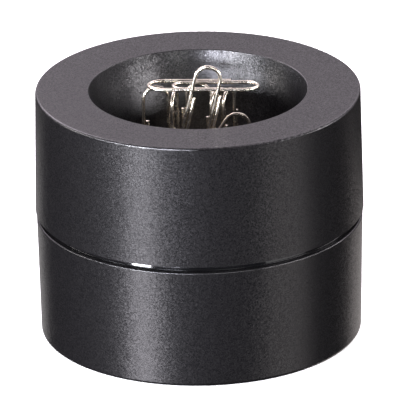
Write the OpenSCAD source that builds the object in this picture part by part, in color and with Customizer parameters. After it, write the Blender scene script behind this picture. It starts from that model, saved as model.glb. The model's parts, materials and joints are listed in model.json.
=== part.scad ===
// Desk-top paper clip holder: a two-part round plastic body with a magnet under a
// funnel-shaped bowl, and a bunch of wire paper clips held upright in the bowl.
// Millimetres. The origin is the middle of the base, on the table; +Z is up.

/* [Body] */
// Height of the top face above the table
body_h = 57; // [55:0.5:65]
// Largest diameter, at the lower edge of the upper shell
body_d = 73; // [71:0.5:85]
// Draft angle of the upper shell's outer wall, which narrows upwards
upper_draft = 0.95; // [0:0.05:2]
// Draft angle of the lower shell's outer wall, which narrows downwards
lower_draft = 1.15; // [0:0.05:2]
// How far the lower shell's upper edge lies in from the upper shell's lower edge
lower_step = 0.23; // [0:0.01:0.6]
// Wall thickness of both shells
wall_t = 2.2; // [1.8:0.1:2.6]
// Thickness of the flat top
top_t = 2.4; // [1.8:0.1:3]
// Edge radius round the flat top
top_edge_r = 0.5; // [0.3:0.1:1]
// Edge radius at the upper edge of the lower shell
joint_edge_r = 0.35; // [0.2:0.05:0.6]
// Edge radius at the foot of the lower shell
foot_edge_r = 0.8; // [0.4:0.1:1.2]

/* [Joint ring] */
// Distance of the groove's middle below the top face
groove_drop = 28.5; // [28:0.25:29.5]
// Height of the groove
groove_h = 1.4; // [1:0.1:2]
// Depth of the groove, in from the lower shell's upper edge
groove_depth = 1.2; // [0.8:0.1:1.6]
// Thickness of the ring's collar, which centres both shells
collar_t = 1.3; // [1:0.1:1.6]
// How far the collar reaches into each shell
collar_reach = 2.5; // [1.5:0.25:3.5]
// Chamfer on the outer edges of the collar
lead_in = 0.4; // [0.2:0.1:0.6]

/* [Bowl] */
// Diameter of the bowl's mouth in the top face
bowl_rim_d = 48.5; // [46:0.5:52]
// Diameter of the bowl's floor, before its corner is rounded
bowl_floor_d = 26; // [25:0.5:30]
// Depth of the bowl below the top face
bowl_depth = 25.3; // [24.5:0.1:26.5]
// Radius of the gentle curve of the bowl's wall
bowl_curve_r = 60; // [40:1:120]
// Radius between the bowl's wall and floor
bowl_fillet_r = 3; // [2:0.25:5]
// Thickness of the bowl's wall and floor
bowl_t = 1.6; // [1.2:0.1:2]
// Edge radius round the bowl's mouth
rim_edge_r = 0.25; // [0.15:0.05:0.5]

/* [Ribs] */
// Number of ribs under the flat top
rib_count = 12; // [6:1:18]
// Thickness of the ribs
rib_t = 1.2; // [0.8:0.1:1.6]
// Height of the ribs under the flat top
rib_h = 7; // [4:0.5:9]

/* [Magnet] */
// Diameter of the magnet disc
magnet_d = 24; // [20:0.5:26]
// Thickness of the magnet disc
magnet_h = 6; // [4:0.5:8]
// Diameter of the steel plate behind the magnet
plate_d = 24; // [20:0.5:26]
// Thickness of the steel plate
plate_h = 2; // [1:0.25:3]
// Wall thickness of the cup that holds the magnet
cup_t = 1.4; // [1:0.1:1.8]
// Thickness of the cup's flange
flange_t = 1.6; // [1.2:0.1:2.4]
// Height of the flange's top below the bowl's underside
flange_drop = 4; // [3:0.25:5]
// Number of screws that hold the flange
cup_screw_count = 3; // [2:1:4]

/* [Fasteners] */
// Number of screws that join the shells
shell_screw_count = 3; // [3:1:4]
// Gap between the shell screws' posts and the ring's collar
post_gap = 1.95; // [1.4:0.05:2.2]
// Shank diameter of the shell screws
shell_screw_d = 3; // [2.5:0.1:3.5]
// Shank length of the shell screws
shell_screw_l = 12; // [8:0.5:14]
// Wall thickness of the posts round the shell screws
post_t = 1.2; // [1:0.1:1.4]
// Thickness of the web that the shell screws' heads pull on
web_t = 4; // [3:0.25:6]
// Shank diameter of the cup screws
cup_screw_d = 2.2; // [1.8:0.1:2.5]
// Shank length of the cup screws
cup_screw_l = 6; // [5:0.5:8]

/* [Base pad] */
// Distance of the soft pad's edge from the foot's edge
pad_inset = 4.7; // [4:0.1:5.5]
// Thickness of the soft pad
pad_t = 1.5; // [1:0.1:2]
// How far the pad stands proud of the lower shell's foot
pad_proud = 0.5; // [0.3:0.05:0.8]
// Thickness of the lower shell's floor
floor_t = 2.2; // [1.6:0.1:3]

/* [Paper clips] */
// Length of a paper clip
clip_l = 25; // [24.5:0.1:26]
// Width of a paper clip
clip_w = 7.3; // [6.8:0.1:7.5]
// Diameter of the wire
wire_d = 0.8; // [0.6:0.05:0.9]
// Gap between two wires that lie side by side in one clip
wire_gap = 0.1; // [0.05:0.01:0.2]
// Distance from the clip's outer loop to its inner loop
loop_inset = 5.5; // [4:0.25:7]
// Distance from the clip's end to the cut end of the outer wire
outer_cut = 6; // [4:0.25:9]
// Distance from the clip's end to the cut end of the inner wire
inner_cut = 7.7; // [5:0.25:10]
// Lean of the front clip to the right, in degrees
front_lean = 13.3; // [8:0.1:16]
// Lean of the low clip to the right, in degrees
low_lean = 34; // [30:0.5:38]
// Roll of the lying clip, whose back edge is the lower one, in degrees
lying_roll = 3.6; // [0:0.1:5]
// Turn of the lying clip about the upright, in degrees
lying_turn = 2.1; // [0:0.1:3]

/* [Hidden] */

// Facets of the large round faces and of the wires
$fn = 180;
wire_fn = 36;
small_fn = 48;
// Overrun of every cut past the face that it opens
over = 0.5;

// Clearances
fit_gap = 0.1;    // sliding fit between moulded pieces
thread_gap = 0.05; // round a screw's shank in its hole
seat_gap = 0.2;   // under a clip that stands on the bowl's floor
stack_gap = 0.4;  // between clips that lean on each other

// Levels above the table
foot_z = pad_proud;
groove_z = body_h - groove_drop;
lower_top_z = groove_z - groove_h / 2;
upper_foot_z = groove_z + groove_h / 2;
base_floor_z = pad_t;
bowl_floor_z = body_h - bowl_depth;
bowl_under_z = bowl_floor_z - bowl_t;
hollow_top_z = body_h - top_t;

// Radii of the body
upper_foot_r = body_d / 2;
top_r = upper_foot_r - (body_h - upper_foot_z) * tan(upper_draft);
lower_top_r = upper_foot_r - lower_step;
foot_r = lower_top_r - (lower_top_z - foot_z) * tan(lower_draft);
pad_r = foot_r - pad_inset;

// Joint ring: outsides of its collar and of the rib that shows
collar_r = lower_top_r - wall_t - collar_reach * tan(lower_draft) - fit_gap;
ring_face_r = lower_top_r - groove_depth;

// Bowl: centres of the wall's curve, of its floor fillet and of the mouth's edge
rim_p = [bowl_rim_d / 2, body_h];
corner_p = [bowl_floor_d / 2, bowl_floor_z];
chord = rim_p - corner_p;
chord_l = norm(chord);
curve_c = (rim_p + corner_p) / 2
    + [-chord.y, chord.x] / chord_l * sqrt(bowl_curve_r ^ 2 - (chord_l / 2) ^ 2);

// Magnet stack
magnet_z = bowl_under_z - magnet_h;
plate_z = magnet_z - plate_h;
cup_inner_r = max(magnet_d, plate_d) / 2 + fit_gap;
cup_outer_r = cup_inner_r + cup_t;
cup_z = plate_z - cup_t;
flange_z = bowl_under_z - flange_drop - flange_t;

// Screws: head sizes follow the shank
shell_head_d = shell_screw_d * 1.85;
shell_head_h = shell_screw_d * 0.65;
cup_head_d = cup_screw_d * 1.85;
cup_head_h = cup_screw_d * 0.65;
head_edge_share = 0.45;
drive_share = 0.6;
tip_share = 0.4;
post_r = shell_head_d / 2 + fit_gap + post_t;
shell_screw_r = collar_r - collar_t - post_gap - post_r;
cup_post_r = cup_screw_d / 2 + post_t;
cup_screw_r = cup_outer_r + cup_head_d / 2 + fit_gap + cup_t / 2;
web_z = groove_z - web_t;

// Paper clip: half sizes on the wire's centre line, seen with its length upright
pitch = wire_d + wire_gap;
half_l = (clip_l - wire_d) / 2;
outer_r = (clip_w - wire_d) / 2;
single_r = outer_r - pitch / 2;
inner_r = outer_r - pitch;
outer_loop_z = outer_r - half_l;
single_loop_z = half_l - single_r;
inner_loop_z = inner_r + loop_inset - half_l;
wire_lap = wire_d;

// Where the clips are: across and to the back, as shares of a clip's width
left_shares = [-1.22, 0.356];
left_edge_shares = [-0.70, -0.014];
middle_shares = [0.59, 0.123];
right_shares = [0.96, 0.123];
back_shares = [-0.027, 0.60];
left_turn = 8;
left_edge_turn = 78;
pair_turn = 64;
back_turn = 168;
lying_shares = [0.164, 0.027];
front_share = 0.068;
low_share = 0.40;
front_drop_share = 0.232;
stand_z = bowl_floor_z + seat_gap + clip_l / 2;
stand_top_z = stand_z + clip_l / 2;
lying_z = stand_top_z + wire_d / 2 + outer_r * sin(lying_roll) + stack_gap / 2;
lying_reach = clip_w / 2 + half_l * sin(lying_turn);
front_y = lying_shares.y * clip_w - lying_reach - stack_gap - wire_d / 2;
low_y = front_y - wire_d - stack_gap;
front_z = lying_z - front_drop_share * clip_l;
low_z = bowl_floor_z + seat_gap + (clip_l - clip_w) / 2 * cos(low_lean) + clip_w / 2;

body_black = [0.16, 0.16, 0.17];
gloss_black = [0.05, 0.05, 0.06];
inner_grey = [0.35, 0.35, 0.37];
nickel = [0.78, 0.77, 0.72];

// Rounds one convex corner of a profile: c is the centre of the round, and its
// edge meets the profile's sides at a and b
module round_corner(c, a, b) {
    difference() {
        children();
        polygon([c, a, c + 2 * (a + b - 2 * c), b]);
    }
    translate(c) circle(norm(a - c), $fn = small_fn);
}

// Profile of a drafted body: sides run from r_low at z_low to r_high at z_high.
// edge_r rounds the upper edge
module drafted_profile(r_low, z_low, r_high, z_high, edge_r) {
    tilt = atan((r_low - r_high) / (z_high - z_low));
    round_z = z_high - edge_r;
    side_r = r_low + (r_high - r_low) * (round_z - z_low) / (z_high - z_low);
    c = [side_r - edge_r / cos(tilt), round_z];
    round_corner(c, [c.x, z_high], c + edge_r * [cos(tilt), sin(tilt)])
        polygon([[0, z_low], [r_low, z_low], [r_high, z_high], [0, z_high]]);
}

// Profile of the bowl's hollow, grown all round by grow
module bowl_profile(grow) {
    r = bowl_curve_r + grow;
    fillet = bowl_fillet_r + grow;
    z = bowl_floor_z - grow;
    c = [curve_c.x + sqrt((r - fillet) ^ 2 - (z + fillet - curve_c.y) ^ 2), z + fillet];
    round_corner(c, [c.x, z], curve_c + (c - curve_c) * r / (r - fillet))
        intersection() {
            translate(curve_c) circle(r, $fn = 2 * $fn);
            translate([0, z]) square([r, body_h + over - z]);
        }
}

// The edge between the bowl's wall and the flat top, rounded by rim_edge_r
module rim_round() {
    z = body_h - rim_edge_r;
    c = [curve_c.x + sqrt((bowl_curve_r + rim_edge_r) ^ 2 - (z - curve_c.y) ^ 2), z];
    round_corner(c, [c.x, body_h], curve_c + (c - curve_c) * bowl_curve_r / (bowl_curve_r + rim_edge_r))
        children();
}

// Copies of a child, evenly spaced on a circle
module around(count, r, start = 0) {
    for (i = [0 : count - 1]) rotate(start + i * 360 / count) translate([r, 0, 0]) children();
}

// Hole for a screw's shank
module screw_hole(shank_d, length) {
    cylinder(d = shank_d + 2 * thread_gap, h = length, $fn = small_fn);
}

// Upper shell: drafted wall, flat top, bowl, ribs and two rings of screw posts
module upper_shell() {
    color(body_black) difference() {
        union() {
            rotate_extrude() rim_round() difference() {
                union() {
                    difference() {
                        drafted_profile(upper_foot_r, upper_foot_z, top_r, body_h, top_edge_r);
                        polygon([[0, upper_foot_z - over],
                                 [upper_foot_r - wall_t + over * tan(upper_draft), upper_foot_z - over],
                                 [top_r + top_t * tan(upper_draft) - wall_t, hollow_top_z],
                                 [0, hollow_top_z]]);
                    }
                    intersection() {
                        bowl_profile(bowl_t);
                        square([top_r - wall_t, body_h - top_t / 2]);
                    }
                }
                bowl_profile(0);
            }
            around(rib_count, bowl_rim_d / 2, 180 / rib_count)
                translate([0, -rib_t / 2, hollow_top_z - rib_h])
                cube([top_r - wall_t / 2 - bowl_rim_d / 2, rib_t, rib_h + top_t / 2]);
            around(shell_screw_count, shell_screw_r)
                translate([0, 0, groove_z]) cylinder(r = post_r, h = hollow_top_z + top_t / 2 - groove_z);
            around(cup_screw_count, cup_screw_r, 180 / cup_screw_count)
                translate([0, 0, flange_z + flange_t])
                    cylinder(r = cup_post_r, h = bowl_depth / 2);
        }
        rotate_extrude() bowl_profile(0);
        around(shell_screw_count, shell_screw_r) translate([0, 0, groove_z - over])
            screw_hole(shell_screw_d, shell_screw_l - web_t + 2 * over);
        around(cup_screw_count, cup_screw_r, 180 / cup_screw_count)
            translate([0, 0, flange_z + flange_t - over])
                screw_hole(cup_screw_d, cup_screw_l - flange_t + 2 * over);
    }
}

// Joint ring: a glossy rib that shows in the groove, on a collar inside both shells
// whose outer edges are chamfered, so that the shells slide on
module joint_ring() {
    low_z = lower_top_z - collar_reach;
    high_z = upper_foot_z + collar_reach;
    inner_r = collar_r - collar_t;
    color(gloss_black) rotate_extrude() {
        polygon([[inner_r, low_z], [collar_r - lead_in, low_z], [collar_r, low_z + lead_in],
                 [collar_r, high_z - lead_in], [collar_r - lead_in, high_z], [inner_r, high_z]]);
        translate([collar_r - collar_t / 2, lower_top_z])
            square([ring_face_r - collar_r + collar_t / 2, groove_h]);
    }
}

// Lower shell: drafted cup with a floor, a recess for the pad and deep screw posts
module lower_shell() {
    floor_top_z = base_floor_z + floor_t;
    post_rib_h = lower_top_z - 2 * collar_reach - base_floor_z;
    c = [foot_r + foot_edge_r * tan(lower_draft) - foot_edge_r / cos(lower_draft), foot_z + foot_edge_r];
    color(body_black) difference() {
        union() {
            rotate_extrude() difference() {
                round_corner(c, [c.x, foot_z], c + foot_edge_r * [cos(lower_draft), -sin(lower_draft)])
                    drafted_profile(foot_r, foot_z, lower_top_r, lower_top_z, joint_edge_r);
                polygon([[0, floor_top_z],
                         [foot_r + (floor_top_z - foot_z) * tan(lower_draft) - wall_t, floor_top_z],
                         [lower_top_r - wall_t + over * tan(lower_draft), lower_top_z + over],
                         [0, lower_top_z + over]]);
            }
            around(shell_screw_count, shell_screw_r) translate([0, 0, base_floor_z]) {
                cylinder(r = post_r, h = groove_z - base_floor_z);
                translate([0, -rib_t / 2, 0])
                    cube([foot_r - wall_t / 2 - shell_screw_r, rib_t, post_rib_h]);
            }
        }
        translate([0, 0, foot_z - over]) cylinder(r = pad_r + fit_gap, h = base_floor_z - foot_z + over);
        around(shell_screw_count, shell_screw_r) {
            cylinder(d = shell_head_d + 2 * fit_gap, h = web_z, $fn = small_fn);
            screw_hole(shell_screw_d, groove_z + over);
        }
    }
}

// Magnet: plain disc against the underside of the bowl's floor
module magnet() {
    color(inner_grey) translate([0, 0, magnet_z]) cylinder(d = magnet_d, h = magnet_h);
}

// Pole plate: steel disc behind the magnet
module pole_plate() {
    color("silver") translate([0, 0, plate_z]) cylinder(d = plate_d, h = plate_h);
}

// Outline of one ear of the cup's flange, with its screw at the origin and the cup to the left
module ear_outline() {
    circle(r = cup_post_r, $fn = small_fn);
    translate([-cup_screw_r, -cup_post_r]) square([cup_screw_r, 2 * cup_post_r]);
}

// Magnet cup: holds magnet and plate up, and hangs from the posts by the ears of its flange
module magnet_cup() {
    color(inner_grey) difference() {
        union() {
            translate([0, 0, cup_z]) cylinder(r = cup_outer_r, h = bowl_under_z - fit_gap - cup_z);
            around(cup_screw_count, cup_screw_r, 180 / cup_screw_count) translate([0, 0, flange_z])
                linear_extrude(flange_t) ear_outline();
        }
        translate([0, 0, plate_z]) cylinder(r = cup_inner_r, h = bowl_under_z - plate_z + over);
        translate([0, 0, cup_z - over]) cylinder(d = plate_d / 2, h = cup_t + 2 * over);
        around(cup_screw_count, cup_screw_r, 180 / cup_screw_count) translate([0, 0, flange_z - over])
            screw_hole(cup_screw_d, flange_t + 2 * over);
    }
}

// A pan-head screw that points up, with its head's underside at zero and a cross drive
module screw(shank_d, shank_l, head_d, head_h) {
    head_r = head_d / 2;
    edge_r = head_h * head_edge_share;
    c = [head_r - edge_r, edge_r - head_h];
    tip_r = shank_d / 2 * tip_share;
    difference() {
        rotate_extrude($fn = small_fn) {
            round_corner(c, [c.x, -head_h], [head_r, c.y])
                polygon([[0, -head_h], [head_r, -head_h], [head_r, 0], [0, 0]]);
            polygon([[0, -head_h / 2], [shank_d / 2, -head_h / 2], [shank_d / 2, shank_l - shank_d / 2],
                     [tip_r, shank_l], [0, shank_l]]);
        }
        for (turn = [0, 90]) rotate(turn) translate([0, 0, -head_h])
            cube([head_d * drive_share, shank_d * drive_share / 2, head_h], center = true);
    }
}

module cup_screws() {
    color("silver") around(cup_screw_count, cup_screw_r, 180 / cup_screw_count)
        translate([0, 0, flange_z]) screw(cup_screw_d, cup_screw_l, cup_head_d, cup_head_h);
}

module shell_screws() {
    color("silver") around(shell_screw_count, shell_screw_r)
        translate([0, 0, web_z]) screw(shell_screw_d, shell_screw_l, shell_head_d, shell_head_h);
}

// Base pad: soft disc glued into the recess, over the screw holes
module base_pad() {
    color(gloss_black) cylinder(r = pad_r, h = pad_t);
}

// Section of the wire, at r from the middle of a bend
module wire_section(r) {
    translate([r, 0]) circle(d = wire_d, $fn = wire_fn);
}

// A half-round bend of the wire, open upwards, with a straight leg at each end
module wire_hoop(r, left_l, right_l) {
    rotate([-90, 0, 0]) rotate_extrude(angle = 180, $fn = 2 * wire_fn) wire_section(r);
    linear_extrude(left_l) wire_section(-r);
    linear_extrude(right_l) wire_section(r);
}

// One paper clip with its length upright and its middle at the origin: an outer loop
// below, a single loop above and an inner loop between them, bent from one wire.
// The single loop's legs lap the long legs of the two other loops by wire_lap
module paper_clip() {
    color(nickel) {
        translate([0, 0, outer_loop_z])
            wire_hoop(outer_r, single_loop_z - outer_loop_z - wire_lap, half_l - outer_cut - outer_loop_z);
        translate([0, 0, inner_loop_z])
            wire_hoop(inner_r, half_l - inner_cut - inner_loop_z, single_loop_z - inner_loop_z - wire_lap);
        translate([-pitch / 2, 0, single_loop_z]) rotate([180, 0, 0])
            wire_hoop(single_r, 2 * wire_lap, 2 * wire_lap);
    }
}

// A clip that stands on the bowl's floor, turned about the upright
module standing_clip(shares, turn) {
    translate([shares.x * clip_w, shares.y * clip_w, stand_z]) rotate(turn) paper_clip();
}

module clip_left() { standing_clip(left_shares, left_turn); }
module clip_left_edge() { standing_clip(left_edge_shares, left_edge_turn); }
module clip_middle() { standing_clip(middle_shares, pair_turn); }
module clip_right() { standing_clip(right_shares, pair_turn); }
module clip_back() { standing_clip(back_shares, back_turn); }

// The clip that lies across the tops of the standing ones
module clip_lying() {
    translate([lying_shares.x * clip_w, lying_shares.y * clip_w, lying_z])
        rotate([90, lying_roll, 90 - lying_turn]) paper_clip();
}

// The clip that leans in front of the lying one
module clip_front() {
    translate([front_share * clip_w, front_y, front_z]) rotate([0, front_lean, 0]) paper_clip();
}

// The clip that stands low at the right, in front of all others
module clip_low() {
    translate([low_share * clip_w, low_y, low_z]) rotate([0, low_lean, 0]) mirror([1, 0, 0]) paper_clip();
}

upper_shell();
joint_ring();
lower_shell();
magnet();
pole_plate();
magnet_cup();
cup_screws();
shell_screws();
base_pad();
clip_lying();
clip_front();
clip_low();
clip_left();
clip_left_edge();
clip_middle();
clip_right();
clip_back();
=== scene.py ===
"""Looks of a desk-top magnetic paper clip holder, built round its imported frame.

The holder is a two-part body of spark-textured black ABS with a glossy ring in
the groove between its shells, and a funnel bowl in which a magnet holds a bunch
of nickel-plated wire clips upright. Lengths are metres, unless a name, comment
or docstring says millimetres.
"""

from __future__ import annotations

import json
import logging
import math
from collections.abc import Callable, Mapping, Sequence
from dataclasses import dataclass, field
from enum import Enum
from typing import Any

import bpy
from mathutils import Matrix, Vector

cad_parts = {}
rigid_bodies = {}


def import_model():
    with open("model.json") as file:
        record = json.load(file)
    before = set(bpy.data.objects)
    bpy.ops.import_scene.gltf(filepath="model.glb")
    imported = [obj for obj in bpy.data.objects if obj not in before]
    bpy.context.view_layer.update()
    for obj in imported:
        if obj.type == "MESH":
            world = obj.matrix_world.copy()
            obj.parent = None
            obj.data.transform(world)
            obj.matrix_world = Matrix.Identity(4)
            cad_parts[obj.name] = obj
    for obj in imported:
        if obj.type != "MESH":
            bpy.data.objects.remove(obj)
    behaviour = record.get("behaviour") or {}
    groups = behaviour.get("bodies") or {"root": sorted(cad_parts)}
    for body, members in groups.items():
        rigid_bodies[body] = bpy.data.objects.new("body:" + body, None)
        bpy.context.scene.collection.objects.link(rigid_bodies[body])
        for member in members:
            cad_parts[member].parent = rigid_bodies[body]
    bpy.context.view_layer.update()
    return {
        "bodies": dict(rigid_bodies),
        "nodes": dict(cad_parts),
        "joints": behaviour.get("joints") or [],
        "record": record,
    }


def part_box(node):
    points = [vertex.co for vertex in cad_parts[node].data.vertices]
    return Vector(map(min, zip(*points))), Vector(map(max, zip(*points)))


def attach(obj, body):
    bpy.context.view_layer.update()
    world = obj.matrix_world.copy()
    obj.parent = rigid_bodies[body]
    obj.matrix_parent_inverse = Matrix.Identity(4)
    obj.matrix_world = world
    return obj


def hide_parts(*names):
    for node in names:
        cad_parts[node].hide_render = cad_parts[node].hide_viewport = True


LOG = logging.getLogger("clip_holder")
MM = 0.001

# Two points whose heights differ by less than this are level
LEVEL = 0.01 * MM
# Points closer than this are welded into one
WELD = 0.0005 * MM
# A face whose normal rises or falls by less than this is upright
UPRIGHT = 0.5
# A face whose normal falls below this looks down
DOWNWARD = -0.99
# The profile of a bevel that is a quarter of a circle
ROUND = 0.5


class Body(Enum):
    """The bodies of the frame that pieces ride on."""

    HOLDER = "holder"
    STANDING_CLIPS = "standing_clips"
    LYING_CLIP = "lying_clip"
    FRONT_CLIP = "front_clip"
    LOW_CLIP = "low_clip"


class Slot(Enum):
    """The record's material slots that the new pieces take their finish from."""

    RING = "ring_plastic"
    PAD = "pad"
    WIRE = "clip_wire"


def linear(hex_colour: str) -> tuple[float, float, float, float]:
    """Turns an sRGB hex colour into Blender's linear colour.

    Args:
        hex_colour: Six hex digits after a hash sign.

    Returns:
        Red, green, blue and alpha, linear.
    """
    channels = [int(hex_colour[i : i + 2], 16) / 255 for i in (1, 3, 5)]
    # The numbers are those of the sRGB standard's curve
    return (*(c / 12.92 if c <= 0.04045 else ((c + 0.055) / 1.055) ** 2.4 for c in channels), 1.0)


def add_node(
    tree: bpy.types.NodeTree,
    kind: str,
    settings: Mapping[str, object] | None = None,
    inputs: Mapping[str | int, object] | None = None,
    stops: Sequence[tuple[float, str]] = (),
) -> bpy.types.Node:
    """Adds a node with its settings and links.

    Args:
        tree: The node tree that gets the node.
        kind: Blender's name of the node's type.
        settings: The node's own properties.
        inputs: What each input holds: a value, or another node's output to link.
        stops: A colour ramp's two stops, each a position and an sRGB hex colour.

    Returns:
        The new node.
    """
    node = tree.nodes.new(kind)
    for name, value in (settings or {}).items():
        setattr(node, name, value)
    for name, value in (inputs or {}).items():
        if isinstance(value, bpy.types.NodeSocket):
            tree.links.new(value, node.inputs[name])
        else:
            node.inputs[name].default_value = value
    if stops:
        for element, (position, colour) in zip(node.color_ramp.elements, stops, strict=True):
            element.position = position
            element.color = linear(colour)
    return node


@dataclass(frozen=True)
class Finish:
    """A surface finish: a principled shader with patterns on object coordinates."""

    name: str
    colour: str
    roughness: float
    metallic: float = 0.0
    ior: float = 1.5

    def build(self) -> bpy.types.Material:
        """Makes the material.

        Returns:
            The finished material.
        """
        material = bpy.data.materials.new(self.name)
        material.use_nodes = True
        tree = material.node_tree
        shader = tree.nodes["Principled BSDF"]
        shader.inputs["Base Color"].default_value = linear(self.colour)
        shader.inputs["Roughness"].default_value = self.roughness
        shader.inputs["Metallic"].default_value = self.metallic
        if not self.metallic:
            shader.inputs["IOR"].default_value = self.ior
        place = add_node(tree, "ShaderNodeTexCoord").outputs["Object"]
        self.pattern(tree, shader, place)
        return material

    def pattern(
        self, tree: bpy.types.NodeTree, shader: bpy.types.Node, place: bpy.types.NodeSocket
    ) -> None:
        """Adds the finish's own colour, roughness and bump patterns.

        Args:
            tree: The material's node tree.
            shader: The principled shader.
            place: Object coordinates in metres.
        """


@dataclass(frozen=True)
class SparkTexturedAbs(Finish):
    """ABS moulded in a spark-eroded tool: a frosted grain of tiny facets.

    Each facet leans its own way and has its own shade and shine, so the grain
    glitters under a small light and is even under a broad one. The real facets
    are about 0.1 mm wide, too fine to show in the render, so they are drawn at
    the least width that shows. The gloss range is in shares of the roughness.
    """

    facet_mm: float = 0.22
    lean: float = 0.12
    specular: float = 0.5
    glitter: float = 0.25
    gloss_range: tuple[float, float] = (0.9, 1.1)
    dark: str = "#09090a"
    light: str = "#131213"

    def pattern(
        self, tree: bpy.types.NodeTree, shader: bpy.types.Node, place: bpy.types.NodeSocket
    ) -> None:
        """Adds the leaning facets, each with its own shade and gloss.

        Args:
            tree: The material's node tree.
            shader: The principled shader.
            place: Object coordinates in metres.
        """
        facets = add_node(
            tree,
            "ShaderNodeTexVoronoi",
            inputs={"Vector": place, "Scale": 1 / (self.facet_mm * MM)},
        ).outputs["Color"]
        shade = add_node(
            tree,
            "ShaderNodeValToRGB",
            inputs={0: facets},
            stops=[(0.0, self.dark), (1.0, self.light)],
        )
        tree.links.new(shade.outputs[0], shader.inputs["Base Color"])
        gloss = add_node(
            tree,
            "ShaderNodeMapRange",
            inputs={
                "Value": facets,
                "To Min": self.roughness * self.gloss_range[0],
                "To Max": self.roughness * self.gloss_range[1],
            },
        )
        tree.links.new(gloss.outputs[0], shader.inputs["Roughness"])
        shine = add_node(
            tree,
            "ShaderNodeMapRange",
            inputs={
                "Value": facets,
                "To Min": self.specular - self.glitter,
                "To Max": self.specular + self.glitter,
            },
        )
        tree.links.new(shine.outputs[0], shader.inputs["Specular IOR Level"])
        # A facet's colour runs from 0 to 1, so a half is taken off to lean it either way
        centred = add_node(
            tree,
            "ShaderNodeVectorMath",
            {"operation": "SUBTRACT"},
            {0: facets, 1: (0.5, 0.5, 0.5)},
        )
        lean = add_node(
            tree,
            "ShaderNodeVectorMath",
            {"operation": "SCALE"},
            {0: centred.outputs[0], "Scale": self.lean},
        )
        surface = add_node(tree, "ShaderNodeNewGeometry").outputs["Normal"]
        leaning = add_node(
            tree, "ShaderNodeVectorMath", {"operation": "ADD"}, {0: lean.outputs[0], 1: surface}
        )
        normal = add_node(
            tree, "ShaderNodeVectorMath", {"operation": "NORMALIZE"}, {0: leaning.outputs[0]}
        )
        tree.links.new(normal.outputs[0], shader.inputs["Normal"])


@dataclass(frozen=True)
class PolishedAbs(Finish):
    """Black ABS from a polished tool: a mirror-like face with faint flow marks."""

    flow_mm: float = 6.0
    flow_detail: float = 1.0
    relief_mm: float = 0.004

    def pattern(
        self, tree: bpy.types.NodeTree, shader: bpy.types.Node, place: bpy.types.NodeSocket
    ) -> None:
        """Adds broad, very shallow flow marks.

        Args:
            tree: The material's node tree.
            shader: The principled shader.
            place: Object coordinates in metres.
        """
        flow = add_node(
            tree,
            "ShaderNodeTexNoise",
            inputs={
                "Vector": place,
                "Scale": 1 / (self.flow_mm * MM),
                "Detail": self.flow_detail,
            },
        )
        bump = add_node(
            tree,
            "ShaderNodeBump",
            inputs={"Distance": self.relief_mm * MM, "Height": flow.outputs["Fac"]},
        )
        tree.links.new(bump.outputs["Normal"], shader.inputs["Normal"])


@dataclass(frozen=True)
class NickelPlatedWire(Finish):
    """Drawn steel wire with bright nickel plating: a warm, slightly hazy mirror.

    Drawing leaves fine marks and the barrel plating leaves soft clouds, so the
    gloss changes a little from place to place along the wire. The gloss range is
    in shares of the roughness.
    """

    mark_mm: float = 0.25
    cloud_mm: float = 2.5
    noise_detail: float = 2.0
    relief_mm: float = 0.003
    cloud_colour: str = "#c9c1b4"
    cloud_edges: tuple[float, float] = (0.35, 0.6)
    gloss_range: tuple[float, float] = (0.6, 1.4)

    def pattern(
        self, tree: bpy.types.NodeTree, shader: bpy.types.Node, place: bpy.types.NodeSocket
    ) -> None:
        """Adds clouds to colour and gloss, and draw marks to the relief.

        Args:
            tree: The material's node tree.
            shader: The principled shader.
            place: Object coordinates in metres.
        """
        clouds = add_node(
            tree,
            "ShaderNodeTexNoise",
            inputs={
                "Vector": place,
                "Scale": 1 / (self.cloud_mm * MM),
                "Detail": self.noise_detail,
            },
        ).outputs["Fac"]
        tint = add_node(
            tree,
            "ShaderNodeValToRGB",
            inputs={0: clouds},
            stops=[(self.cloud_edges[0], self.cloud_colour), (self.cloud_edges[1], self.colour)],
        )
        tree.links.new(tint.outputs[0], shader.inputs["Base Color"])
        gloss = add_node(
            tree,
            "ShaderNodeMapRange",
            inputs={
                "Value": clouds,
                "To Min": self.roughness * self.gloss_range[0],
                "To Max": self.roughness * self.gloss_range[1],
            },
        )
        tree.links.new(gloss.outputs[0], shader.inputs["Roughness"])
        marks = add_node(
            tree,
            "ShaderNodeTexNoise",
            inputs={
                "Vector": place,
                "Scale": 1 / (self.mark_mm * MM),
                "Detail": self.noise_detail,
            },
        ).outputs["Fac"]
        bump = add_node(
            tree,
            "ShaderNodeBump",
            inputs={"Distance": self.relief_mm * MM, "Height": marks},
        )
        tree.links.new(bump.outputs["Normal"], shader.inputs["Normal"])


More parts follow.
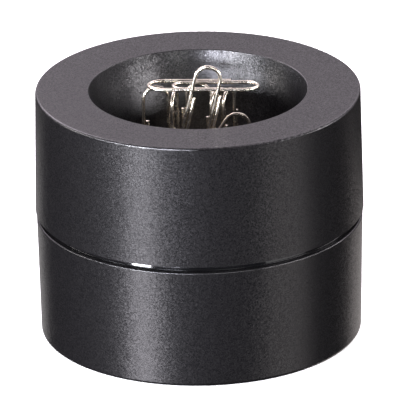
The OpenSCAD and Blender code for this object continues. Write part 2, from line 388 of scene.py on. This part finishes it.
@dataclass(frozen=True)
class ZincPlatedSteel(Finish):
    """Pressed or headed steel with blue zinc plating: satin, with a fine mottle.

    The gloss range is in shares of the roughness.
    """

    mottle_mm: float = 0.8
    mottle_detail: float = 4.0
    relief_mm: float = 0.006
    dull_colour: str = "#9fa5ab"
    mottle_edges: tuple[float, float] = (0.35, 0.65)
    gloss_range: tuple[float, float] = (0.8, 1.3)

    def pattern(
        self, tree: bpy.types.NodeTree, shader: bpy.types.Node, place: bpy.types.NodeSocket
    ) -> None:
        """Adds the mottle to colour, gloss and relief.

        Args:
            tree: The material's node tree.
            shader: The principled shader.
            place: Object coordinates in metres.
        """
        mottle = add_node(
            tree,
            "ShaderNodeTexNoise",
            inputs={
                "Vector": place,
                "Scale": 1 / (self.mottle_mm * MM),
                "Detail": self.mottle_detail,
            },
        ).outputs["Fac"]
        tint = add_node(
            tree,
            "ShaderNodeValToRGB",
            inputs={0: mottle},
            stops=[(self.mottle_edges[0], self.dull_colour), (self.mottle_edges[1], self.colour)],
        )
        tree.links.new(tint.outputs[0], shader.inputs["Base Color"])
        gloss = add_node(
            tree,
            "ShaderNodeMapRange",
            inputs={
                "Value": mottle,
                "To Min": self.roughness * self.gloss_range[0],
                "To Max": self.roughness * self.gloss_range[1],
            },
        )
        tree.links.new(gloss.outputs[0], shader.inputs["Roughness"])
        bump = add_node(
            tree,
            "ShaderNodeBump",
            inputs={"Distance": self.relief_mm * MM, "Height": mottle},
        )
        tree.links.new(bump.outputs["Normal"], shader.inputs["Normal"])


@dataclass(frozen=True)
class SinteredFerrite(Finish):
    """Pressed and sintered ferrite: a dull charcoal ceramic with grinding marks.

    Its grains are about 0.02 mm, so they are drawn ten times as coarse.
    """

    grain_mm: float = 0.2
    groove_mm: float = 0.5
    groove_waver: float = 1.5
    groove_detail: float = 2.0
    relief_mm: float = 0.01
    dark_colour: str = "#232427"
    grain_edges: tuple[float, float] = (0.2, 0.9)

    def pattern(
        self, tree: bpy.types.NodeTree, shader: bpy.types.Node, place: bpy.types.NodeSocket
    ) -> None:
        """Adds ceramic grains to the colour and straight grinding marks to the relief.

        Args:
            tree: The material's node tree.
            shader: The principled shader.
            place: Object coordinates in metres.
        """
        grains = add_node(
            tree,
            "ShaderNodeTexVoronoi",
            inputs={"Vector": place, "Scale": 1 / (self.grain_mm * MM)},
        ).outputs["Color"]
        tint = add_node(
            tree,
            "ShaderNodeValToRGB",
            inputs={0: grains},
            stops=[(self.grain_edges[0], self.dark_colour), (self.grain_edges[1], self.colour)],
        )
        tree.links.new(tint.outputs[0], shader.inputs["Base Color"])
        grooves = add_node(
            tree,
            "ShaderNodeTexWave",
            {"bands_direction": "X"},
            {
                "Vector": place,
                "Scale": 1 / (self.groove_mm * MM),
                "Distortion": self.groove_waver,
                "Detail": self.groove_detail,
            },
        ).outputs["Fac"]
        bump = add_node(
            tree,
            "ShaderNodeBump",
            inputs={"Distance": self.relief_mm * MM, "Height": grooves},
        )
        tree.links.new(bump.outputs["Normal"], shader.inputs["Normal"])


@dataclass(frozen=True)
class CellularRubber(Finish):
    """Closed-cell foam rubber, skinned by slicing: matt black with small open pores. The pores
    carry painted shade.
    """

    pore_mm: float = 0.45
    relief_mm: float = 0.12
    pore_shade_colour: str = "#070707"
    pore_edges: tuple[float, float] = (0.1, 0.45)

    def pattern(
        self, tree: bpy.types.NodeTree, shader: bpy.types.Node, place: bpy.types.NodeSocket
    ) -> None:
        """Adds the pores to the relief, and painted shade in their hollows to the colour.

        Args:
            tree: The material's node tree.
            shader: The principled shader.
            place: Object coordinates in metres.
        """
        pores = add_node(
            tree,
            "ShaderNodeTexVoronoi",
            inputs={"Vector": place, "Scale": 1 / (self.pore_mm * MM)},
        ).outputs["Distance"]
        # Painted shade: the colour darkens towards each pore's middle, where the bump sinks it
        # into a hollow
        tint = add_node(
            tree,
            "ShaderNodeValToRGB",
            inputs={0: pores},
            stops=[(self.pore_edges[0], self.pore_shade_colour), (self.pore_edges[1], self.colour)],
        )
        tree.links.new(tint.outputs[0], shader.inputs["Base Color"])
        bump = add_node(
            tree,
            "ShaderNodeBump",
            inputs={"Distance": self.relief_mm * MM, "Height": pores},
        )
        tree.links.new(bump.outputs["Normal"], shader.inputs["Normal"])


@dataclass(frozen=True)
class Softbox:
    """A rectangular studio light that looks at the middle of the object.

    Azimuth 0 is the side of the camera, and positive turns to the right. Angles
    are degrees, lengths metres and the power watts.
    """

    name: str
    azimuth: float
    elevation: float
    distance: float
    width: float
    height: float
    power: float
    colour: str = "#ffffff"

    def build(self, target: Vector) -> None:
        """Makes the light.

        Args:
            target: The point that it looks at.
        """
        data = bpy.data.lights.new(self.name, "AREA")
        data.shape = "RECTANGLE"
        data.size = self.width
        data.size_y = self.height
        data.energy = self.power
        data.color = linear(self.colour)[:3]
        light = bpy.data.objects.new(self.name, data)
        azimuth, elevation = math.radians(self.azimuth), math.radians(self.elevation)
        away = Vector(
            (
                math.sin(azimuth) * math.cos(elevation),
                -math.cos(azimuth) * math.cos(elevation),
                math.sin(elevation),
            )
        )
        light.location = target + away * self.distance
        light.rotation_euler = (-away).to_track_quat("-Z", "Y").to_euler()
        light.visible_camera = False
        bpy.context.scene.collection.objects.link(light)


@dataclass(frozen=True)
class Studio:
    """The camera, the pale floor and the lights round the object.

    The camera and the lights look at the target, which is in the middle of the
    picture. The room is bright behind the object and fades to dark in front, where
    the softboxes light it. The floor stops no light and shows in no reflection, so
    the softboxes "in_table" stand below it: they are what a pale table throws back
    at the wall. Angles are degrees. The side fade is in cosines of the angle from
    the bright side, and the horizon fade in sines of the angle above the horizon.
    """

    target: Vector = field(default_factory=lambda: Vector((0.1, 0.0, 30.4)) * MM)
    camera_distance: float = 1.8826
    camera_elevation: float = 22.04
    camera_roll: float = -0.9
    camera_near: float = 0.01
    camera_far: float = 20.0
    focal_pixels: float = 8460.0
    image_pixels: float = 400.0
    sensor_mm: float = 36.0
    floor_radius: float = 6.0
    floor_sides: int = 64
    floor_gap_mm: float = 0.02
    card_colour: str = "#f4f4f4"
    card_roughness: float = 0.9
    card_glow: float = 0.6
    card_glow_colour: str = "#ffffff"
    sky: float = 0.75
    sky_colour: str = "#fff4ff"
    bright_side: float = -165.0
    side_fade: tuple[float, float] = (-0.5, 0.4)
    horizon_fade: tuple[float, float] = (-0.05, 0.05)
    # Name, azimuth, elevation, distance, width, height, power and colour. The ring shows
    # the key and the low fill, and the other lights over the table stand too high for it
    softboxes: tuple[Softbox, ...] = (
        Softbox("key", -41.0, 6.5, 0.60, 0.135, 0.125, 6.4, "#f6f6ff"),
        Softbox("key_right", -20.0, 11.2, 0.60, 0.15, 0.05, 4.5, "#f0f0ff"),
        Softbox("key_left", -62.0, 11.2, 0.60, 0.16, 0.05, 1.9, "#f6f6ff"),
        Softbox("key_far_left", -92.0, 11.6, 0.60, 0.22, 0.05, 1.2, "#fffaf8"),
        Softbox("key_in_table", -41.0, -28.5, 0.60, 0.17, 0.22, 1.20, "#faf6ff"),
        Softbox("fill", 63.0, 14.5, 0.60, 0.34, 0.11, 2.7, "#fffaff"),
        Softbox("fill_low", 61.5, 5.0, 0.60, 0.34, 0.13, 0.22),
        Softbox("fill_front", 20.0, 14.5, 0.60, 0.20, 0.11, 0.75),
        Softbox("fill_right", 104.0, 15.0, 0.60, 0.26, 0.11, 1.1, "#fffaff"),
        Softbox("fill_in_table", 61.5, -25.0, 0.60, 0.34, 0.24, 0.28, "#fff8f8"),
        Softbox("right_in_table", 150.0, -36.0, 0.60, 0.36, 0.30, 0.30, "#fff6f4"),
        Softbox("left_in_table", -156.0, -31.0, 0.60, 0.22, 0.24, 0.12, "#fffafa"),
        Softbox("back_right", 150.0, 42.0, 0.90, 0.55, 0.45, 1.8, "#fff4ff"),
        Softbox("back_left", -150.0, 42.0, 0.90, 0.55, 0.45, 4.6, "#fff4ff"),
    )

    def build(self) -> None:
        """Makes the camera, the floor, the world and the lights."""
        self.build_camera()
        self.build_floor()
        self.build_world()
        for softbox in self.softboxes:
            softbox.build(self.target)
        bpy.context.scene.view_settings.view_transform = "Standard"

    def build_camera(self) -> None:
        """Makes the camera at the photograph's angle, with the photograph's slight roll."""
        data = bpy.data.cameras.new("camera")
        data.sensor_width = self.sensor_mm
        data.lens = self.focal_pixels * self.sensor_mm / self.image_pixels
        data.clip_start = self.camera_near
        data.clip_end = self.camera_far
        camera = bpy.data.objects.new("camera", data)
        elevation = math.radians(self.camera_elevation)
        back = Vector((0.0, -math.cos(elevation), math.sin(elevation)))
        place = Matrix.Translation(self.target + back * self.camera_distance)
        turn = (-back).to_track_quat("-Z", "Y").to_matrix().to_4x4()
        roll = Matrix.Rotation(math.radians(self.camera_roll), 4, "Z")
        camera.matrix_world = place @ turn @ roll
        bpy.context.scene.collection.objects.link(camera)
        bpy.context.scene.camera = camera

    def build_floor(self) -> None:
        """Makes the floor: plain white card, a hair below the pad so that the two don't mix."""
        bpy.ops.mesh.primitive_circle_add(
            vertices=self.floor_sides,
            radius=self.floor_radius,
            fill_type="NGON",
            location=(0.0, 0.0, -self.floor_gap_mm * MM),
        )
        floor = bpy.context.object
        floor.name = "floor"
        material = bpy.data.materials.new("white_card")
        material.use_nodes = True
        shader = material.node_tree.nodes["Principled BSDF"]
        shader.inputs["Base Color"].default_value = linear(self.card_colour)
        shader.inputs["Roughness"].default_value = self.card_roughness
        shader.inputs["Emission Color"].default_value = linear(self.card_glow_colour)
        shader.inputs["Emission Strength"].default_value = self.card_glow
        floor.data.materials.append(material)
        floor.visible_diffuse = False
        floor.visible_glossy = False
        floor.visible_shadow = False

    def build_world(self) -> None:
        """Makes the light of a white room, from behind the object and above the table's edge."""
        world = bpy.data.worlds.new("white_room")
        bpy.context.scene.world = world
        world.use_nodes = True
        tree = world.node_tree
        background = tree.nodes["Background"]
        background.inputs["Color"].default_value = linear(self.sky_colour)
        direction = add_node(tree, "ShaderNodeTexCoord").outputs["Generated"]
        height = add_node(tree, "ShaderNodeSeparateXYZ", inputs={0: direction}).outputs["Z"]
        above = add_node(
            tree,
            "ShaderNodeMapRange",
            inputs={
                "Value": height,
                "From Min": self.horizon_fade[0],
                "From Max": self.horizon_fade[1],
            },
        )
        azimuth = math.radians(self.bright_side)
        side = add_node(
            tree,
            "ShaderNodeVectorMath",
            {"operation": "DOT_PRODUCT"},
            {0: direction, 1: (math.sin(azimuth), -math.cos(azimuth), 0.0)},
        ).outputs["Value"]
        strength = add_node(
            tree,
            "ShaderNodeMapRange",
            inputs={
                "Value": side,
                "From Min": self.side_fade[0],
                "From Max": self.side_fade[1],
                "To Max": self.sky,
            },
        )
        product = add_node(
            tree,
            "ShaderNodeMath",
            {"operation": "MULTIPLY"},
            {0: above.outputs[0], 1: strength.outputs[0]},
        )
        tree.links.new(product.outputs[0], background.inputs["Strength"])


# Black ABS whose tool was spark-eroded: frosted, and it glitters in the light
SHELL_ABS = SparkTexturedAbs("spark_textured_black_abs", "#141315", 0.31)
# Black ABS from a polished tool: the ring is a dark mirror
RING_ABS = PolishedAbs("polished_black_abs", "#0a0a0b", 0.08)
# Dark grey ABS from a plainly machined tool: duller than the shells
CUP_ABS = SparkTexturedAbs(
    "machined_tool_grey_abs", "#2b2b2d", 0.42, dark="#29292b", light="#2e2e30"
)
# Bright nickel on drawn wire: a warm mirror with soft clouds
WIRE_NICKEL = NickelPlatedWire("nickel_plated_drawn_wire", "#eae3d2", 0.25, metallic=1.0)
# Blue zinc on steel: a satin, cool grey
PLATE_ZINC = ZincPlatedSteel("zinc_plated_pressed_steel", "#bcc3ca", 0.32, metallic=1.0)
SCREW_ZINC = ZincPlatedSteel(
    "zinc_plated_screw_steel", "#c4cad0", 0.24, metallic=1.0, mottle_mm=0.3
)
# Ground ferrite: a dull charcoal ceramic
FERRITE = SinteredFerrite("ground_sintered_ferrite", "#36373a", 0.58)
# Sliced foam rubber: matt black with open pores
PAD_RUBBER = CellularRubber("sliced_cellular_rubber", "#171717", 0.88)


class Dresser:
    """Makes each finish once and puts it on pieces."""

    def __init__(self) -> None:
        """Starts with no finish made."""
        self._made: dict[str, bpy.types.Material] = {}

    def material(self, finish: Finish) -> bpy.types.Material:
        """Gives a finish's material, which is made at its first use.

        Args:
            finish: The finish that is wanted.

        Returns:
            Its material.
        """
        if finish.name not in self._made:
            self._made[finish.name] = finish.build()
        return self._made[finish.name]

    def dress_node(self, node: bpy.types.Object, finish: Finish) -> None:
        """Gives a node of the frame its finish, in its own material slots.

        Args:
            node: The node's object.
            finish: The finish that it gets.
        """
        for slot in node.material_slots:
            slot.material = self.material(finish)
        LOG.info("dressed %s in %s", node.name, finish.name)

    def dress_piece(
        self, piece: bpy.types.Object, finish: Finish, body: Body, node: str
    ) -> None:
        """Finishes a new piece, puts it on its body and lets it stand for a node.

        Args:
            piece: The new piece, in its place.
            finish: The finish that it gets.
            body: The body that it rides on.
            node: The node of the frame that it stands for.
        """
        piece.data.materials.clear()
        piece.data.materials.append(self.material(finish))
        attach(piece, body.value)
        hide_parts(node)
        LOG.info("made %s in %s for %s", piece.name, finish.name, node)


def edit_mesh(piece: bpy.types.Object) -> None:
    """Opens a piece for editing, with all of it selected.

    Args:
        piece: The piece, in object mode.
    """
    bpy.ops.object.select_all(action="DESELECT")
    piece.select_set(True)
    bpy.context.view_layer.objects.active = piece
    bpy.ops.object.mode_set(mode="EDIT")
    bpy.ops.mesh.select_all(action="SELECT")


def close_mesh() -> None:
    """Ends the editing of a piece."""
    bpy.ops.object.mode_set(mode="OBJECT")


def select_edges(piece: bpy.types.Object, wanted: Callable[[Vector, Vector], bool]) -> None:
    """Selects the edges whose two ends pass a test, and no others.

    Args:
        piece: The piece, open in edit mode.
        wanted: Says whether an edge with these two ends is selected.
    """
    bpy.ops.mesh.select_all(action="DESELECT")
    bpy.ops.mesh.select_mode(type="EDGE")
    close_mesh()
    points = piece.data.vertices
    for edge in piece.data.edges:
        edge.select = wanted(*(points[index].co for index in edge.vertices))
    bpy.ops.object.mode_set(mode="EDIT")


def select_faces(piece: bpy.types.Object, wanted: Callable[[Vector, Vector], bool]) -> None:
    """Selects the faces that pass a test, and no others.

    Args:
        piece: The piece, open in edit mode.
        wanted: Says whether a face with this middle and normal is selected.
    """
    bpy.ops.mesh.select_all(action="DESELECT")
    bpy.ops.mesh.select_mode(type="FACE")
    close_mesh()
    for face in piece.data.polygons:
        face.select = wanted(face.center, face.normal)
    bpy.ops.object.mode_set(mode="EDIT")


def is_level(start: Vector, end: Vector) -> bool:
    """Says whether the edge between two points is level."""
    return abs(start.z - end.z) < LEVEL


def settle(piece: bpy.types.Object, sharp_degrees: float) -> None:
    """Puts a piece's place in its mesh, closes its seams and smooths its round faces.

    Args:
        piece: The finished piece.
        sharp_degrees: Edges that turn more than this stay sharp.
    """
    if piece.mode == "EDIT":
        close_mesh()
    bpy.ops.object.select_all(action="DESELECT")
    piece.select_set(True)
    bpy.context.view_layer.objects.active = piece
    bpy.ops.object.transform_apply(location=True, rotation=True, scale=True)
    edit_mesh(piece)
    bpy.ops.mesh.remove_doubles(threshold=WELD)
    bpy.ops.mesh.normals_make_consistent(inside=False)
    close_mesh()
    bpy.ops.object.shade_smooth_by_angle(angle=math.radians(sharp_degrees))
    piece.select_set(False)


@dataclass(frozen=True)
class Shells:
    """The two body shells and the screws that join them."""

    shell_nodes: tuple[str, ...] = ("upper_shell", "lower_shell")
    screw_node: str = "shell_screws"

    def build(self, frame: Mapping[str, Any], dresser: Dresser) -> None:
        """Dresses the shells and their screws.

        Args:
            frame: The loaded frame.
            dresser: Holds the finishes.
        """
        for name in self.shell_nodes:
            dresser.dress_node(frame["nodes"][name], SHELL_ABS)
        dresser.dress_node(frame["nodes"][self.screw_node], SCREW_ZINC)


@dataclass(frozen=True)
class MagnetPack:
    """The magnet under the bowl's floor, its steel plate, its cup and the cup's screws."""

    finishes: tuple[tuple[str, Finish], ...] = (
        ("magnet", FERRITE),
        ("pole_plate", PLATE_ZINC),
        ("magnet_cup", CUP_ABS),
        ("cup_screws", SCREW_ZINC),
    )

    def build(self, frame: Mapping[str, Any], dresser: Dresser) -> None:
        """Dresses the pieces of the pack.

        Args:
            frame: The loaded frame.
            dresser: Holds the finishes.
        """
        for name, finish in self.finishes:
            dresser.dress_node(frame["nodes"][name], finish)


@dataclass(frozen=True)
class RingPlaces:
    """The heights and radii of the joint ring in the frame, in metres."""

    low: float
    high: float
    bead_low: float
    bead_high: float
    collar_r: float
    bead_r: float
    face_r: float


@dataclass(frozen=True)
class JointRing:
    """The glossy ring in the groove: a bead on a collar that reaches into both shells.

    Above a low upright strip, the bead's face slopes back, and this slope is what
    shows the key light. Millimetres and degrees.
    """

    node: str = "joint_ring"
    collar_t: float = 1.3
    collar_reach: float = 2.5
    lead_in: float = 0.4
    lead_in_steps: int = 2
    end_band: float = 0.1
    bead_depth: float = 1.15
    bead_slope: float = 14.0
    bead_low_share: float = 0.16
    bead_round: float = 0.12
    bead_steps: int = 4
    sides: int = 240
    sharp_degrees: float = 30.0

    def build(self, dresser: Dresser) -> None:
        """Models the ring in the place of its node.

        Args:
            dresser: Holds the finishes.
        """
        low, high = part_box(self.node)
        places = RingPlaces(
            low=low[2],
            high=high[2],
            bead_low=low[2] + self.collar_reach * MM,
            bead_high=high[2] - self.collar_reach * MM,
            collar_r=high[0] - self.bead_depth * MM,
            bead_r=high[0] - self.bead_depth / 2 * MM,
            face_r=high[0],
        )
        ring = self.make_collar(places)
        self.raise_bead(ring, places)
        self.slope_bead(ring, places)
        self.round_edges(ring, places)
        settle(ring, self.sharp_degrees)
        dresser.dress_piece(ring, RING_ABS, Body.HOLDER, self.node)

    def make_collar(self, places: RingPlaces) -> bpy.types.Object:
        """Makes the collar, cut level where the bead begins and ends.

        Args:
            places: The ring's heights and radii.

        Returns:
            The collar, a closed tube.
        """
        bpy.ops.object.select_all(action="DESELECT")
        bpy.ops.mesh.primitive_cylinder_add(
            vertices=self.sides,
            radius=places.collar_r,
            depth=places.high - places.low,
            end_fill_type="NOTHING",
            location=(0.0, 0.0, (places.low + places.high) / 2),
        )
        ring = bpy.context.object
        ring.name = "glossy_joint_ring"
        bpy.ops.object.transform_apply(location=True, rotation=True, scale=True)
        edit_mesh(ring)
        for height in (places.bead_low, places.bead_high):
            bpy.ops.mesh.select_all(action="SELECT")
            bpy.ops.mesh.bisect(plane_co=(0.0, 0.0, height), plane_no=(0.0, 0.0, 1.0))
        close_mesh()
        wall = ring.modifiers.new("wall", "SOLIDIFY")
        wall.thickness = self.collar_t * MM
        # The wall grows inwards from the cylinder
        wall.offset = -1.0
        bpy.ops.object.modifier_apply(modifier=wall.name)
        return ring

    def raise_bead(self, ring: bpy.types.Object, places: RingPlaces) -> None:
        """Draws the collar's middle band outwards into a square bead.

        Args:
            ring: The collar. It stays open in edit mode.
            places: The ring's heights and radii.
        """
        edit_mesh(ring)
        middle_r = places.collar_r - self.collar_t / 2 * MM
        select_faces(
            ring,
            lambda middle, normal: places.bead_low < middle.z < places.bead_high
            and middle.xy.length > middle_r,
        )
        grow = places.face_r / places.collar_r
        bpy.ops.mesh.extrude_region_move()
        bpy.ops.transform.resize(value=(grow, grow, 1.0))

    def slope_bead(self, ring: bpy.types.Object, places: RingPlaces) -> None:
        """Leans the bead's face back above its low upright strip.

        Args:
            ring: The ring, open in edit mode.
            places: The ring's heights and radii.
        """
        slope_low = places.bead_low + self.bead_low_share * (places.bead_high - places.bead_low)
        select_faces(
            ring,
            lambda middle, normal: middle.xy.length > places.bead_r and abs(normal.z) < UPRIGHT,
        )
        bpy.ops.mesh.bisect(plane_co=(0.0, 0.0, slope_low), plane_no=(0.0, 0.0, 1.0))
        select_edges(
            ring,
            lambda start, end: min(start.xy.length, end.xy.length) > places.bead_r
            and min(start.z, end.z) > places.bead_high - LEVEL,
        )
        set_back = (places.bead_high - slope_low) * math.tan(math.radians(self.bead_slope))
        shrink = (places.face_r - set_back) / places.face_r
        bpy.ops.transform.resize(value=(shrink, shrink, 1.0))

    def round_edges(self, ring: bpy.types.Object, places: RingPlaces) -> None:
        """Rounds the bead, and gives the collar's two ends a lead-in.

        Args:
            ring: The ring, open in edit mode.
            places: The ring's heights and radii.
        """
        select_edges(
            ring,
            lambda start, end: min(start.xy.length, end.xy.length) > places.bead_r
            and is_level(start, end),
        )
        bpy.ops.mesh.bevel(offset=self.bead_round * MM, segments=self.bead_steps, profile=ROUND)
        outer_end_r = places.collar_r - self.lead_in / 2 * MM
        band = self.end_band * MM
        select_edges(
            ring,
            lambda start, end: outer_end_r < start.xy.length < places.bead_r
            and is_level(start, end)
            and not places.low + band < start.z < places.high - band,
        )
        bpy.ops.mesh.bevel(offset=self.lead_in * MM, segments=self.lead_in_steps, profile=ROUND)


@dataclass(frozen=True)
class BasePad:
    """The soft pad under the base: a sliced disc with pressed edges and a shallow hollow.

    Millimetres and degrees. A face whose middle is within the centre's radius is an end
    of the disc.
    """

    node: str = "base_pad"
    edge_round: float = 0.4
    edge_steps: int = 4
    rim_w: float = 2.5
    hollow: float = 0.12
    centre_r: float = 1.0
    sides: int = 144
    sharp_degrees: float = 40.0

    def build(self, dresser: Dresser) -> None:
        """Models the pad in the place of its node.

        Args:
            dresser: Holds the finishes.
        """
        low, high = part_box(self.node)
        bpy.ops.object.select_all(action="DESELECT")
        bpy.ops.mesh.primitive_cylinder_add(
            vertices=self.sides,
            radius=high[0],
            depth=high[2] - low[2],
            location=(0.0, 0.0, (low[2] + high[2]) / 2),
        )
        pad = bpy.context.object
        pad.name = "soft_base_pad"
        bpy.ops.object.transform_apply(location=True, rotation=True, scale=True)
        edit_mesh(pad)
        select_edges(pad, is_level)
        bpy.ops.mesh.bevel(offset=self.edge_round * MM, segments=self.edge_steps, profile=ROUND)
        select_faces(
            pad,
            lambda middle, normal: normal.z < DOWNWARD and middle.xy.length < self.centre_r * MM,
        )
        bpy.ops.mesh.inset(thickness=self.rim_w * MM)
        bpy.ops.mesh.inset(thickness=self.rim_w / 2 * MM, depth=-self.hollow * MM)
        settle(pad, self.sharp_degrees)
        dresser.dress_piece(pad, PAD_RUBBER, Body.HOLDER, self.node)


@dataclass(frozen=True)
class PaperClip:
    """Where one wire clip is: its node, its body, its middle and how it is turned.

    Millimetres, and degrees about the three axes, the first axis first.
    """

    node: str
    body: Body
    middle: tuple[float, float, float]
    turns: tuple[float, float, float]
    mirrored: bool = False


@dataclass(frozen=True)
class ClipBunch:
    """The bunch of wire clips that the magnet holds in the bowl.

    Millimetres and degrees. What is named across or back is in clip widths, and
    the front clip's drop, from the lying clip to its own middle, in clip lengths.
    """

    clip_l: float = 25.0
    clip_w: float = 7.3
    wire_d: float = 0.8
    wire_gap: float = 0.1
    loop_inset: float = 5.5
    outer_cut: float = 6.0
    inner_cut: float = 7.7
    inner_set: float = 0.15
    end_round: float = 0.12
    end_steps: int = 2
    end_profile: float = 0.6
    sides: int = 16
    bend_steps: int = 24
    sharp_degrees: float = 50.0
    floor_z: float = 31.7
    seat_gap: float = 0.2
    stack_gap: float = 0.4
    lying_across: float = 0.164
    lying_back: float = 0.027
    lying_roll: float = 3.6
    lying_turn: float = 2.1
    front_across: float = 0.068
    front_drop: float = 0.232
    front_lean: float = 13.3
    low_across: float = 0.40
    low_lean: float = 34.0

    def clips(self) -> list[PaperClip]:
        """Works out where each clip of the bunch is.

        Returns:
            The eight clips, the standing ones first.
        """
        stand_z = self.floor_z + self.seat_gap + self.clip_l / 2
        # Each node with its place across and back, in clip widths, and its turn in degrees
        standing = (
            ("clip_left", -1.22, 0.356, 8.0),
            ("clip_left_edge", -0.70, -0.014, 78.0),
            ("clip_middle", 0.59, 0.123, 64.0),
            ("clip_right", 0.96, 0.123, 64.0),
            ("clip_back", -0.027, 0.60, 168.0),
        )
        clips = [
            PaperClip(
                node,
                Body.STANDING_CLIPS,
                (across * self.clip_w, back * self.clip_w, stand_z),
                (0.0, 0.0, turn),
            )
            for node, across, back, turn in standing
        ]
        outer_r = (self.clip_w - self.wire_d) / 2
        half_l = (self.clip_l - self.wire_d) / 2
        roll = math.radians(self.lying_roll)
        lying_y = self.lying_back * self.clip_w
        lying_z = (
            stand_z
            + self.clip_l / 2
            + self.wire_d / 2
            + outer_r * math.sin(roll)
            + self.stack_gap / 2
        )
        lying_reach = self.clip_w / 2 + half_l * math.sin(math.radians(self.lying_turn))
        front_y = lying_y - lying_reach - self.stack_gap - self.wire_d / 2
        low_y = front_y - self.wire_d - self.stack_gap
        upright = (self.clip_l - self.clip_w) / 2 * math.cos(math.radians(self.low_lean))
        low_z = self.floor_z + self.seat_gap + upright + self.clip_w / 2
        lying = PaperClip(
            "clip_lying",
            Body.LYING_CLIP,
            (self.lying_across * self.clip_w, lying_y, lying_z),
            (90.0, self.lying_roll, 90.0 - self.lying_turn),
        )
        front = PaperClip(
            "clip_front",
            Body.FRONT_CLIP,
            (
                self.front_across * self.clip_w,
                front_y,
                lying_z - self.front_drop * self.clip_l,
            ),
            (0.0, self.front_lean, 0.0),
        )
        low = PaperClip(
            "clip_low",
            Body.LOW_CLIP,
            (self.low_across * self.clip_w, low_y, low_z),
            (0.0, self.low_lean, 0.0),
            mirrored=True,
        )
        return [*clips, lying, front, low]

    def bend_wire(self) -> bpy.types.Object:
        """Bends one clip from a wire, upright, with its middle at the origin.

        The wire starts at the outer cut end, goes down and round the outer loop,
        up and round the single loop, and down and round the inner loop.

        Returns:
            The clip, open ends closed, not yet in its place.
        """
        pitch = self.wire_d + self.wire_gap
        half_l = (self.clip_l - self.wire_d) / 2
        outer_r = (self.clip_w - self.wire_d) / 2
        single_r = outer_r - pitch / 2
        inner_r = outer_r - pitch
        outer_loop_z = outer_r - half_l
        single_loop_z = half_l - single_r
        inner_loop_z = inner_r + self.loop_inset - half_l
        bpy.ops.object.select_all(action="DESELECT")
        bpy.ops.mesh.primitive_circle_add(
            vertices=self.sides,
            radius=self.wire_d / 2 * MM,
            fill_type="NGON",
            location=(outer_r * MM, 0.0, (half_l - self.outer_cut) * MM),
        )
        wire = bpy.context.object
        bpy.ops.object.transform_apply(location=True, rotation=True, scale=True)
        edit_mesh(wire)
        bpy.ops.mesh.select_mode(type="FACE")
        bpy.ops.mesh.select_all(action="SELECT")
        self.draw(0.0, outer_loop_z - (half_l - self.outer_cut))
        self.turn((0.0, 0.0, outer_loop_z))
        self.draw(0.0, single_loop_z - outer_loop_z)
        self.turn((-pitch / 2, 0.0, single_loop_z))
        self.draw(-self.inner_set, inner_loop_z - single_loop_z)
        self.turn((0.0, -self.inner_set, inner_loop_z))
        self.draw(0.0, half_l - self.inner_cut - inner_loop_z)
        self.trim(wire)
        return wire

    def draw(self, sideways: float, along: float) -> None:
        """Draws the selected end of the wire out into a straight leg.

        Args:
            sideways: How far the leg leaves the clip's plane.
            along: The leg's length upwards, or downwards if negative.
        """
        bpy.ops.mesh.extrude_region_move(
            TRANSFORM_OT_translate={"value": (0.0, sideways * MM, along * MM)}
        )

    def turn(self, middle: tuple[float, float, float]) -> None:
        """Bends the wire on through a half turn, seen from the front to the left.

        Args:
            middle: The middle of the bend.
        """
        bpy.ops.mesh.spin(
            steps=self.bend_steps,
            angle=-math.pi,
            center=tuple(value * MM for value in middle),
            axis=(0.0, 1.0, 0.0),
        )

    def trim(self, wire: bpy.types.Object) -> None:
        """Rounds off the sheared edges of the two cut ends.

        Args:
            wire: The bent wire, open in edit mode.
        """
        close_mesh()
        for face in wire.data.polygons:
            face.select = len(face.vertices) == self.sides
        bpy.ops.object.mode_set(mode="EDIT")
        bpy.ops.mesh.region_to_loop()
        bpy.ops.mesh.bevel(
            offset=self.end_round * MM, segments=self.end_steps, profile=self.end_profile
        )
        close_mesh()

    def build(self, dresser: Dresser) -> None:
        """Bends a clip, copies it into each place and dresses the copies.

        Args:
            dresser: Holds the finishes.
        """
        pattern = self.bend_wire()
        for clip in self.clips():
            piece = pattern.copy()
            piece.data = pattern.data.copy()
            piece.name = f"wire_{clip.node}"
            bpy.context.scene.collection.objects.link(piece)
            piece.location = Vector(clip.middle) * MM
            piece.rotation_euler = tuple(math.radians(turn) for turn in clip.turns)
            if clip.mirrored:
                piece.scale.x = -1.0
            settle(piece, self.sharp_degrees)
            dresser.dress_piece(piece, WIRE_NICKEL, clip.body, clip.node)
        bpy.data.objects.remove(pattern)


def main() -> None:
    """Builds the studio, the new pieces and the finishes."""
    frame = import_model()
    bpy.ops.object.select_all(action="DESELECT")
    Studio().build()
    dresser = Dresser()
    Shells().build(frame, dresser)
    MagnetPack().build(frame, dresser)
    JointRing().build(dresser)
    BasePad().build(dresser)
    ClipBunch().build(dresser)


if __name__ == "__main__":
    logging.basicConfig(level=logging.INFO)
    main()
